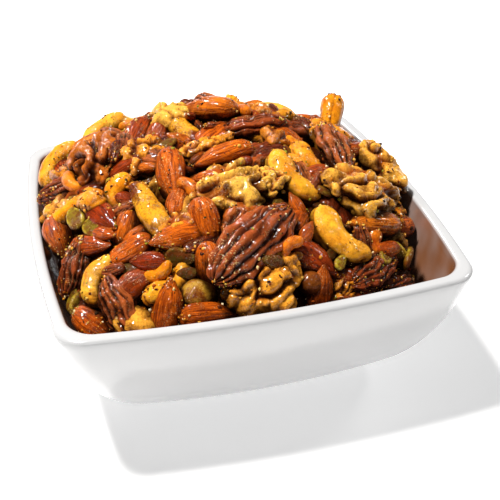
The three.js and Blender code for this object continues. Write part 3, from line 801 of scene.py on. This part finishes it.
LOT_SEED = 51
LOT_REACH = 300  # how far apart the nuts' places in the noise may lie
STREAK_ALONG = 0.1  # streaks run along a nut, because they change less that way
STREAK_ROUND = 5
FROM_NUT = ("grain", "streak", "tint", "relief")


def nut_body(kind, layer):
    counts = [max(int(LAYER_SHARE[layer] * count), FEWEST_ROWS) for count in FINENESS[kind]]
    return cube_body(*counts) if kind == "walnut" else round_body(*counts)


class Heap:
    """One mesh for each kind of nut, as arrays of points, triangles and numbers for colours."""

    def __init__(self):
        self.bodies = {}
        self.meshes = {}
        self.lots = np.random.default_rng(LOT_SEED)

    def add(self, nut):
        key = (nut.kind, nut.layer)
        if key not in self.bodies:
            self.bodies[key] = nut_body(*key)
        p, triangles = self.bodies[key]
        lot = self.lots.uniform(-LOT_REACH, LOT_REACH, 3)
        base = FORMS[nut.kind](p)
        depth, relief = RELIEFS[nut.kind](p, base, lot)
        carved = base + normals_of(base, triangles) * depth[:, None]
        basis = nut_basis(nut)
        turn = turn_round(p)
        round_it = STREAK_ROUND * np.cos(turn), STREAK_ROUND * np.sin(turn)
        streak = columns(STREAK_ALONG * base[:, 0], *round_it)
        parts = dict(
            points=carved @ basis.T + nut_middle(nut, basis), grain=base + lot,
            streak=streak + lot, tint=np.full(len(p), nut.tint), relief=relief,
        )
        mesh = self.meshes.setdefault(nut.kind, dict(count=0, triangles=[]))
        mesh["triangles"].append(triangles + mesh["count"])
        mesh["count"] += len(p)
        for name, values in parts.items():
            mesh.setdefault(name, []).append(values)

    def joined(self, kind, name):
        return np.concatenate(self.meshes[kind][name])

    def every_point(self):
        return np.concatenate([self.joined(kind, "points") for kind in self.meshes])


# ---- Crumbs of the coating ----

CRUMBS = Numbers(
    seed=733, count=9400, size=(0.13, 0.75), few_large=1.6, clump=8, bare=-0.02, sink=0.2,
    steepest=-0.1, lowest=-2, under_top=1, uneven=(0.6, 1.3), stretch=(0.6, 1.4),
)


def icosahedron():
    golden = (1 + math.sqrt(5)) / 2
    points = []
    for a, b in itertools.product((-1, 1), (-golden, golden)):
        points += [(0, a, b), (a, b, 0), (b, 0, a)]
    points = np.array(points, float)
    points /= np.linalg.norm(points[0])
    near = np.linalg.norm(points[:, None] - points, axis=2) < 1.1
    triangles = []
    for a, b, c in itertools.combinations(range(12), 3):
        if near[a, b] and near[b, c] and near[a, c]:
            out = np.dot(np.cross(points[b] - points[a], points[c] - points[a]), points[a])
            triangles.append((a, b, c) if out > 0 else (a, c, b))
    return points, np.array(triangles)


def crumb_spots(heap):
    """Places on the upper sides of the nuts, in clumps, with the way that the surface faces."""
    points, normals = [], []
    for kind in ("almond", "cashew", "split", "walnut", "pecan"):
        whole = heap.joined(kind, "points")
        normal = normals_of(whole, heap.joined(kind, "triangles"))
        lowest = heap_level(whole[:, 0], whole[:, 1]) + CRUMBS.lowest
        kept = (normal[:, 2] > CRUMBS.steepest) & (whole[:, 2] > lowest)
        kept &= whole[:, 2] < HEAP_TOP - CRUMBS.under_top
        kept &= noise(whole, CRUMBS.clump, salt=3) > CRUMBS.bare
        points.append(whole[kept])
        normals.append(normal[kept])
    return np.concatenate(points), np.concatenate(normals)


def crumb_mesh(heap):
    """Crumbs strewn over the nuts, many small ones and few large ones."""
    points, normals = crumb_spots(heap)
    count = CRUMBS.count
    draws = np.random.default_rng(CRUMBS.seed)
    chosen = draws.choice(len(points), count, replace=False)
    low, high = CRUMBS.size
    size = low * (high / low) ** (draws.uniform(0, 1, (count, 1)) ** CRUMBS.few_large)
    middle = points[chosen] - normals[chosen] * size * CRUMBS.sink
    body, triangles = icosahedron()
    uneven = draws.uniform(*CRUMBS.uneven, (count, len(body), 1))
    shape = body * uneven * draws.uniform(*CRUMBS.stretch, (count, 1, 3))
    placed = middle[:, None] + shape * size[:, None]
    starts = np.arange(count)[:, None, None] * len(body)
    tint = np.repeat(draws.uniform(0, 1, count), len(body))
    return placed.reshape(-1, 3), (triangles + starts).reshape(-1, 3), tint


# ---- The core under the nuts ----

CORE_DEPTH = 12
CORE_INSET = 3.5
CORE_GAP = 1


def core_mesh(side_steps=8, corner_steps=4, wall_rows=6, top_rows=12):
    bottom = FLOOR_TOP + CORE_GAP
    brink = plan_ring(RIM_SIDE / 2 - WALL, side_steps, corner_steps)
    edge = heap_level(brink[:, 0], brink[:, 1]) - CORE_DEPTH
    rings = [level_ring(0, bottom, side_steps, corner_steps)]
    for share in np.linspace(0, 1, wall_rows + 1):
        level = bottom + (edge - bottom) * share
        half = inner_half(level) - CORE_INSET
        plan = np.stack([
            plan_ring(size, side_steps, corner_steps)[step] for step, size in enumerate(half)
        ])
        rings.append(np.column_stack([plan, level]))
    brim = rings[-1]
    for share in np.linspace(1, 0, top_rows + 1)[1:]:
        plan = brim[:, :2] * share
        level = heap_level(plan[:, 0], plan[:, 1]) - CORE_DEPTH
        rings.append(np.column_stack([plan, level]))
    return ring_body(rings)


# ---- Materials ----

# The colours of each kind's coating, as stops: how dark it is, and red, green and blue there.
ALMOND_RIDGE = (0.1, 0.92, 0.27, 0.012), (0.45, 0.8, 0.15, 0.005), (0.9, 0.36, 0.032, 0.002)
ALMOND_GROOVE = (0.1, 0.34, 0.045, 0.002), (0.45, 0.2, 0.02, 0.001), (0.9, 0.06, 0.004, 0.001)
CASHEW_LIGHT = (0.0, 0.99, 0.62, 0.07), (0.3, 1.0, 0.42, 0.008), (0.8, 0.86, 0.21, 0.006)
CASHEW_DARK = (0.0, 0.9, 0.38, 0.02), (0.3, 0.84, 0.21, 0.004), (0.8, 0.4, 0.055, 0.003)
WALNUT_LOBE = (0.0, 1.0, 0.58, 0.085), (0.4, 0.98, 0.36, 0.02), (0.9, 0.42, 0.075, 0.006)
WALNUT_VALLEY = (0.0, 0.55, 0.14, 0.01), (0.4, 0.32, 0.055, 0.004), (0.9, 0.05, 0.007, 0.002)
PECAN_RIDGE = (0.3, 0.58, 0.15, 0.03), (0.65, 0.4, 0.078, 0.016), (0.9, 0.2, 0.026, 0.005)
HAZEL_LIGHT = (0.0, 0.66, 0.36, 0.03), (0.9, 0.14, 0.03, 0.005)
SEED_FACE = (0.1, 0.3, 0.21, 0.01), (0.4, 0.13, 0.08, 0.005), (0.8, 0.035, 0.022, 0.003)
SEED_RIM = (0.1, 0.6, 0.44, 0.03), (0.4, 0.4, 0.24, 0.015), (0.8, 0.11, 0.065, 0.008)
CRUMB_COLOURS = (
    (0.0, 0.85, 0.72, 0.5), (0.12, 0.85, 0.55, 0.1), (0.3, 0.7, 0.25, 0.012),
    (0.5, 0.3, 0.055, 0.005), (0.72, 0.06, 0.01, 0.003), (0.93, 0.02, 0.01, 0.004),
    (0.97, 0.3, 0.26, 0.02),
)

# Single colours, most of them for what lies on the coating.
CASHEW_PIT = (0.24, 0.04, 0.003)
SPLIT_END, SPLIT_MIDDLE = (0.16, 0.025, 0.003), (0.85, 0.36, 0.014)
PECAN_GROOVE = (0.02, 0.002, 0.001)
HAZEL_CLOUD = (0.34, 0.1, 0.006)
SEED_BROWN = (0.13, 0.028, 0.004)
SPICE = (0.13, 0.018, 0.002)
SPICE_GRIT = (0.14, 0.02, 0.002)
SPECK = (0.012, 0.003, 0.001)
# Pale crystals, partly painted glints.
CRYSTAL_GLINT = (0.95, 0.62, 0.24)
# Near-black painted shade for the gaps between the nuts.
PAINTED_GAP_SHADE = (0.01, 0.001, 0.0003)
# The core's colours: near-black as painted shade in the gaps, with brown clumps of spice.
CORE_DARK, CORE_CLUMP = (0.01, 0.002, 0.001), (0.17, 0.032, 0.005)
GLAZE, GLAZE_CLOUD = (0.56, 0.56, 0.565), (0.6, 0.6, 0.605)
# Brown painted reflection of the nuts on the glaze inside the wall.
NUT_REFLECTION_BROWN = (0.23, 0.07, 0.012)
PAPER, PAPER_CLOUD = (0.86, 0.86, 0.86), (0.89, 0.89, 0.89)
WHITE = (1, 1, 1)
AMBER = (1, 0.5, 0.2)

COATING_ROUGHNESS = 0.5
COATING_SHINE = 0.08
PLAIN_SHINE = 0.5
FILM = 0.6  # how much of a nut the oily film covers, out of the gaps
FILM_ROUGHNESS = 0.06
FILM_LOST = 0.85  # the share of the film taken away where the painted gap shade is deepest, so that the gaps reflect less
PAPER_GLOW = 0.45


class Shader:
    """A material's nodes: each call adds them and gives their output."""

    def __init__(self, name, roughness, coat, coat_roughness, shine=COATING_SHINE, tint=AMBER):
        self.material = bpy.data.materials.new(name)
        self.material.use_nodes = True
        self.tree = self.material.node_tree
        self.surface = self.tree.nodes["Principled BSDF"]
        self.fill(self.surface, {
            "Roughness": roughness, "Specular IOR Level": shine, "Specular Tint": tint,
            "Coat Weight": coat, "Coat Roughness": coat_roughness,
        })

    def fill(self, node, inputs):
        """Gives a node's inputs their values, or links them to other nodes' outputs."""
        for key, value in inputs.items():
            socket = node.inputs[key]
            if isinstance(value, bpy.types.NodeSocket):
                self.tree.links.new(value, socket)
            else:
                socket.default_value = (*value, 1) if socket.type == "RGBA" else value

    def node(self, kind, output, inputs, **settings):
        node = self.tree.nodes.new("ShaderNode" + kind)
        for name, setting in settings.items():
            setattr(node, name, setting)
        self.fill(node, inputs)
        return node.outputs[output]

    def attribute(self, name, output="Fac"):
        return self.node("Attribute", output, {}, attribute_name=name)

    @functools.cached_property
    def grain(self):
        """The place on the nut or the bowl, for noise that moves with it."""
        return self.attribute("grain", "Vector")

    def noise(self, scale, detail=2, roughness=0.5, warp=0.0, place=None):
        return self.node("TexNoise", "Fac", {
            "Vector": place or self.grain, "Scale": scale, "Detail": detail,
            "Roughness": roughness, "Distortion": warp,
        })

    def math(self, operation, a, b):
        return self.node("Math", 0, {0: a, 1: b}, operation=operation)

    def times(self, a, b):
        return self.math("MULTIPLY", a, b)

    def share(self, value, low, high):
        """The value's share of the way from low to high, kept within 0 and 1."""
        inputs = {"Value": value, "From Min": low, "From Max": high}
        return self.node("MapRange", "Result", inputs)

    def patches(self, scale, low, high, **noise):
        """Noise that is 0 where it is under low, and 1 where it is over high."""
        return self.share(self.noise(scale, **noise), low, high)

    def mix(self, share, a, b):
        return self.node("Mix", 2, {"Factor": share, 6: a, 7: b}, data_type="RGBA")

    def cover(self, colour, layer, share, strength):
        """The colour under a layer that covers the share of it, times the strength."""
        return self.mix(self.times(share, strength), colour, layer)

    def tinted(self, stops):
        """The colour, among the stops, for how dark the nut or the crumb is."""
        node = self.tree.nodes.new("ShaderNodeValToRGB")
        self.fill(node, {"Fac": self.attribute("tint")})
        elements = node.color_ramp.elements
        while len(elements) < len(stops):
            elements.new(0.5)
        for element, (place, *colour) in zip(elements, stops):
            element.position = place
            element.color = (*colour, 1)
        return node.outputs["Color"]

    def bump(self, height, depth, under=None):
        inputs = {"Height": height, "Distance": depth * MM}
        return self.node("Bump", "Normal", inputs if under is None else inputs | {"Normal": under})

    def finish(self, colour, normal=None, coat_normal=None):
        self.fill(self.surface, {"Base Color": colour})
        if normal is not None:
            self.fill(self.surface, {"Normal": normal, "Coat Normal": coat_normal or normal})
        return self.material


def spice_glints_and_gap_shade(shader, colour, spice, specks, gap_shade_strength):
    """Patches of spice, specks, pale crystals that are partly painted glints, and near-black
    painted shade in the gaps.
    """
    patch = shader.patches(0.2, 0.48, 0.64, detail=5, roughness=0.7)
    colour = shader.cover(colour, SPICE, patch, 0.85 * spice)
    grit = shader.patches(1.5, 0.48, 0.6, detail=3, roughness=0.75)
    colour = shader.cover(colour, SPICE_GRIT, grit, 0.4 * spice)
    speck = shader.patches(1.3, 0.66, 0.7, roughness=0.6, warp=0.6)
    colour = shader.cover(colour, SPECK, speck, specks)
    # Pale dots in patches: partly real crystals, partly painted glints.
    strewn = shader.patches(0.13, 0.5, 0.66, detail=3)
    crystal_glint_dots = shader.patches(2.1, 0.6, 0.66, detail=1)
    colour = shader.cover(colour, CRYSTAL_GLINT, shader.times(crystal_glint_dots, strewn), 0.6)
    # Near-black painted shade where the nuts lie deep in the gaps.
    return shader.cover(colour, PAINTED_GAP_SHADE, shader.attribute("deep"), gap_shade_strength)


def sugared(shader, depth):
    """Fine crumbs and crystals in patches, as a bump."""
    patch = shader.patches(0.13, 0.4, 0.6)
    grit = shader.noise(1.9, detail=3, roughness=0.75)
    even = shader.bump(shader.noise(0.5, detail=3), 0.35)
    return shader.bump(shader.times(grit, patch), depth, even)


def oiled(shader, film, grain_height):
    """The film of oil over the coating: smoother than it, with some grains that break through, and
    thinner under the painted gap shade.
    """
    dulled = shader.times(shader.attribute("deep"), FILM_LOST * film)
    shader.fill(shader.surface, {"Coat Weight": shader.math("SUBTRACT", film, dulled)})
    waves = shader.bump(shader.noise(0.35), 0.2)
    patch = shader.patches(0.16, 0.42, 0.58)
    grain_tops = shader.patches(1.0, 0.5, 0.75, detail=1)
    return shader.bump(shader.times(grain_tops, patch), grain_height, waves)


def almond_skin(shader):
    streak = shader.attribute("streak", "Vector")
    stripe = shader.patches(1.5, 0.36, 0.6, detail=3, roughness=0.65, place=streak)
    wrinkle = shader.times(shader.attribute("relief"), 0.3)
    high = shader.math("ADD", wrinkle, shader.times(stripe, 0.7))
    groove = shader.tinted(ALMOND_GROOVE)
    colour = shader.mix(shader.share(high, 0.15, 0.8), groove, shader.tinted(ALMOND_RIDGE))
    cloud = shader.patches(0.1, 0.4, 0.65, detail=3)
    return shader.cover(colour, groove, cloud, 0.35), stripe


def cashew_skin(shader):
    cloud = shader.patches(0.11, 0.35, 0.68, detail=4, roughness=0.6)
    colour = shader.mix(cloud, shader.tinted(CASHEW_LIGHT), shader.tinted(CASHEW_DARK))
    low = shader.share(shader.attribute("relief"), 0.5, 0.05)
    return shader.cover(colour, CASHEW_PIT, low, 0.75), None


def split_skin(shader):
    middle = shader.share(shader.attribute("relief"), 0.2, 0.8)
    return shader.mix(middle, SPLIT_END, SPLIT_MIDDLE), None


def walnut_skin(shader):
    cloud = shader.times(shader.noise(0.3, detail=4, roughness=0.6), 0.5)
    high = shader.share(shader.math("ADD", shader.attribute("relief"), cloud), 0.45, 1.1)
    return shader.mix(high, shader.tinted(WALNUT_VALLEY), shader.tinted(WALNUT_LOBE)), None


def pecan_skin(shader):
    streak = shader.attribute("streak", "Vector")
    stripe = shader.patches(0.9, 0.3, 0.7, detail=5, roughness=0.7, place=streak)
    high = shader.math("ADD", shader.attribute("relief"), shader.times(stripe, 0.35))
    high = shader.share(high, 0.45, 1.05)
    return shader.mix(high, PECAN_GROOVE, shader.tinted(PECAN_RIDGE)), stripe


def hazel_skin(shader):
    cloud = shader.patches(0.2, 0.35, 0.7, detail=4, roughness=0.6)
    return shader.mix(cloud, shader.tinted(HAZEL_LIGHT), HAZEL_CLOUD), None


def seed_skin(shader):
    rim = shader.share(shader.attribute("relief"), 0.5, 0.9)
    colour = shader.mix(rim, shader.tinted(SEED_FACE), shader.tinted(SEED_RIM))
    brown = shader.patches(0.35, 0.44, 0.6, detail=3, roughness=0.6)
    return shader.cover(colour, SEED_BROWN, brown, 0.8), None


def nut_material(name, skin, spice=1.0, specks=0.9, gap_shade_strength=0.96, crystals=0.22, stripes=0,
                 film=FILM, film_roughness=FILM_ROUGHNESS, grains=0.32):
    """A nut's own skin under spice, crystals and painted gap shade, and the film of oil over them.

    The last three are how much the film covers, how rough it is and how far grains lift it.
    """
    shader = Shader(name, COATING_ROUGHNESS, film, film_roughness)
    colour, stripe = skin(shader)
    colour = spice_glints_and_gap_shade(shader, colour, spice, specks, gap_shade_strength)
    normal = sugared(shader, crystals)
    if stripes:
        normal = shader.bump(stripe, stripes, normal)
    return shader.finish(colour, normal, oiled(shader, film, grains))


NUT_MATERIALS = dict(
    almond=dict(name="almond_skin", skin=almond_skin, spice=0.6, crystals=0.18, stripes=0.14),
    cashew=dict(name="cashew_coating", skin=cashew_skin, spice=0.45, specks=0.35, crystals=0.14),
    split=dict(name="split_coating", skin=split_skin, crystals=0.3),
    walnut=dict(
        name="walnut_skin", skin=walnut_skin, spice=0.9, specks=0.4, gap_shade_strength=0.85,
        film=0.95, grains=0.1,
    ),
    pecan=dict(
        name="pecan_skin", skin=pecan_skin, spice=0.5, crystals=0.3, stripes=0.25,
        film_roughness=0.08,
    ),
    hazel=dict(name="hazel_skin", skin=hazel_skin),
    seed=dict(name="seed_skin", skin=seed_skin, spice=0.8, crystals=0.3),
)


def crumb_material():
    shader = Shader("crumb_coating", COATING_ROUGHNESS, 0.5, 0.04)
    return shader.finish(shader.tinted(CRUMB_COLOURS))


def core_material():
    shader = Shader("core_painted_shade", COATING_ROUGHNESS, 0.2, 0.2)
    # Near-black painted shade where the gaps show the core, with brown clumps of spice over it.
    clump = shader.patches(0.45, 0.35, 0.7, detail=4, roughness=0.7)
    lumpy = shader.bump(shader.noise(0.35, detail=3), 1.0)
    return shader.finish(shader.mix(clump, CORE_DARK, CORE_CLUMP), lumpy)


def glaze_material():
    shader = Shader("white_glaze", 0.2, 0.6, 0.04, PLAIN_SHINE, WHITE)
    colour = shader.mix(shader.noise(0.03), GLAZE, GLAZE_CLOUD)
    # Brown painted reflection of the nuts, in patches, over the inside of the wall.
    reflection_patches = shader.patches(0.04, -0.1, 0.6)
    colour = shader.cover(colour, NUT_REFLECTION_BROWN, shader.attribute("nut_reflection"), reflection_patches)
    orange_peel = shader.bump(shader.noise(0.12), 0.08)
    return shader.finish(colour, orange_peel)


def floor_material():
    shader = Shader("floor_paper", 0.8, 0.0, 0.3, PLAIN_SHINE, WHITE)
    paper = shader.node("TexCoord", "Object", {})
    shader.fill(shader.surface, {"Emission Color": WHITE, "Emission Strength": PAPER_GLOW})
    return shader.finish(shader.mix(shader.noise(3.0, place=paper), PAPER, PAPER_CLOUD))


# ---- The pieces ----

REFLECTION_REACH = (18, 36)  # how far over the nuts the painted reflection of them on the glaze begins and ends to thin
REFLECTION_WANDER, REFLECTION_SPACING = 5, 12
REFLECTION_RIM = (0.1, 1.8)  # how far under the rim it begins, and is whole
BOWL_ROWS = dict(wall_rows=36, rim_rows=8)
BOWL_SIDE_STEPS, BOWL_CORNER_STEPS = 24, 12


def rim_ring(profile):
    """Which ring of the profile is the highest."""
    return int(np.argmax([level for half, level in profile]))


def painted_reflection_share(points, profile):
    """How much painted reflection of the nuts the glaze gets, from 0 to 1: over the inside of the
    wall, by the nuts.
    """
    around = len(points) // len(profile)
    inside = np.repeat(np.arange(len(profile)) > rim_ring(profile), around)
    over = points[:, 2] - heap_level(points[:, 0], points[:, 1])
    near = 1 - smooth_step(*REFLECTION_REACH, over + REFLECTION_WANDER * noise(points, REFLECTION_SPACING))
    return inside * near * smooth_step(*REFLECTION_RIM, BOWL_HEIGHT - points[:, 2])


def build_bowl():
    profile = bowl_profile(**BOWL_ROWS)
    rings = [
        level_ring(half, level, BOWL_SIDE_STEPS, BOWL_CORNER_STEPS) for half, level in profile
    ]
    points, triangles = ring_body(rings)
    numbers = dict(grain=points, nut_reflection=painted_reflection_share(points, profile))
    make_piece("glazed_bowl", points, triangles, numbers, glaze_material(), "glaze", "bowl")


def build_heap():
    heap = Heap()
    for nut in all_nuts():
        heap.add(nut)
    height_map = HeightMap(heap.every_point())
    for bit in gap_bits(height_map):
        heap.add(bit)
    pieces = []
    for kind in heap.meshes:
        points = heap.joined(kind, "points")
        numbers = {name: heap.joined(kind, name) for name in FROM_NUT}
        # How deep each point lies in the gaps, for the painted shade and the thinner film there.
        numbers["deep"] = height_map.depth(points)
        material = nut_material(**NUT_MATERIALS[kind])
        pieces.append((kind + "s", points, heap.joined(kind, "triangles"), numbers, material))
    points, triangles, tint = crumb_mesh(heap)
    pieces.append(("crumbs", points, triangles, dict(tint=tint), crumb_material()))
    points, triangles = core_mesh()
    pieces.append(("core", points, triangles, dict(grain=points), core_material()))
    for piece in pieces:
        make_piece(*piece, "coated_nuts", "nuts")


# ---- Floor, light and camera ----

FLOOR_REACH = 14.0
CAMERA_PLACE = Vector((-68.5, -296.6, 226.5)) * MM
CAMERA_YAW = math.radians(14.588)  # clockwise from +Y, seen from above
CAMERA_PITCH = math.radians(32.438)  # down
CAMERA_ROLL = math.radians(-0.606)
CAMERA_LENS = 65.65
CAMERA_NEAR = 0.01
SENSOR_WIDTH = 36
WORLD_LIGHT = 0.06
LIGHT_TARGET = (0, 0, 0.05)
# Each lamp's place and width in metres, its power in watts and its colour.
LAMPS = dict(
    window=((-0.34, 0.1, 1.06), 0.16, 18.5, (1, 0.985, 0.96)),
    back_window=((-0.25, 0.95, 0.72), 0.14, 3.5, WHITE),
    right_window=((0.65, 0.1, 0.5), 0.15, 1, WHITE),
    front_fill=((-0.25, -1.1, 0.7), 0.3, 0.6, (0.97, 0.985, 1)),
)


def build_floor():
    bpy.ops.mesh.primitive_plane_add(size=2 * FLOOR_REACH)
    floor = bpy.context.object
    floor.name = "floor"
    floor.data.materials.append(floor_material())


def build_camera():
    ahead = Vector((
        math.sin(CAMERA_YAW) * math.cos(CAMERA_PITCH),
        math.cos(CAMERA_YAW) * math.cos(CAMERA_PITCH),
        -math.sin(CAMERA_PITCH),
    ))
    level = Vector((math.cos(CAMERA_YAW), -math.sin(CAMERA_YAW), 0))
    up = level.cross(ahead)
    right = math.cos(CAMERA_ROLL) * level + math.sin(CAMERA_ROLL) * up
    top = -math.sin(CAMERA_ROLL) * level + math.cos(CAMERA_ROLL) * up
    data = bpy.data.cameras.new("camera")
    data.lens = CAMERA_LENS
    data.sensor_width = SENSOR_WIDTH
    data.clip_start = CAMERA_NEAR
    camera = bpy.data.objects.new("camera", data)
    bpy.context.scene.collection.objects.link(camera)
    turn = Matrix((right, top, -ahead)).transposed()
    camera.matrix_world = Matrix.Translation(CAMERA_PLACE) @ turn.to_4x4()
    bpy.context.scene.camera = camera


def build_lamp(name, place, size, power, colour):
    data = bpy.data.lights.new(name, "AREA")
    data.shape = "DISK"
    data.size = size
    data.energy = power
    data.color = colour
    lamp = bpy.data.objects.new(name, data)
    lamp.location = place
    towards = Vector(LIGHT_TARGET) - Vector(place)
    lamp.rotation_euler = towards.to_track_quat("-Z", "Y").to_euler()
    bpy.context.scene.collection.objects.link(lamp)


def build_light():
    for name, lamp in LAMPS.items():
        build_lamp(name, *lamp)
    world = bpy.data.worlds.new("studio")
    world.use_nodes = True
    background = world.node_tree.nodes["Background"]
    background.inputs["Color"].default_value = (*WHITE, 1)
    background.inputs["Strength"].default_value = WORLD_LIGHT
    bpy.context.scene.world = world
    bpy.context.scene.view_settings.view_transform = "Standard"


build_camera()
build_floor()
build_light()
build_bowl()
build_heap()

bpy.context.view_layer.update()
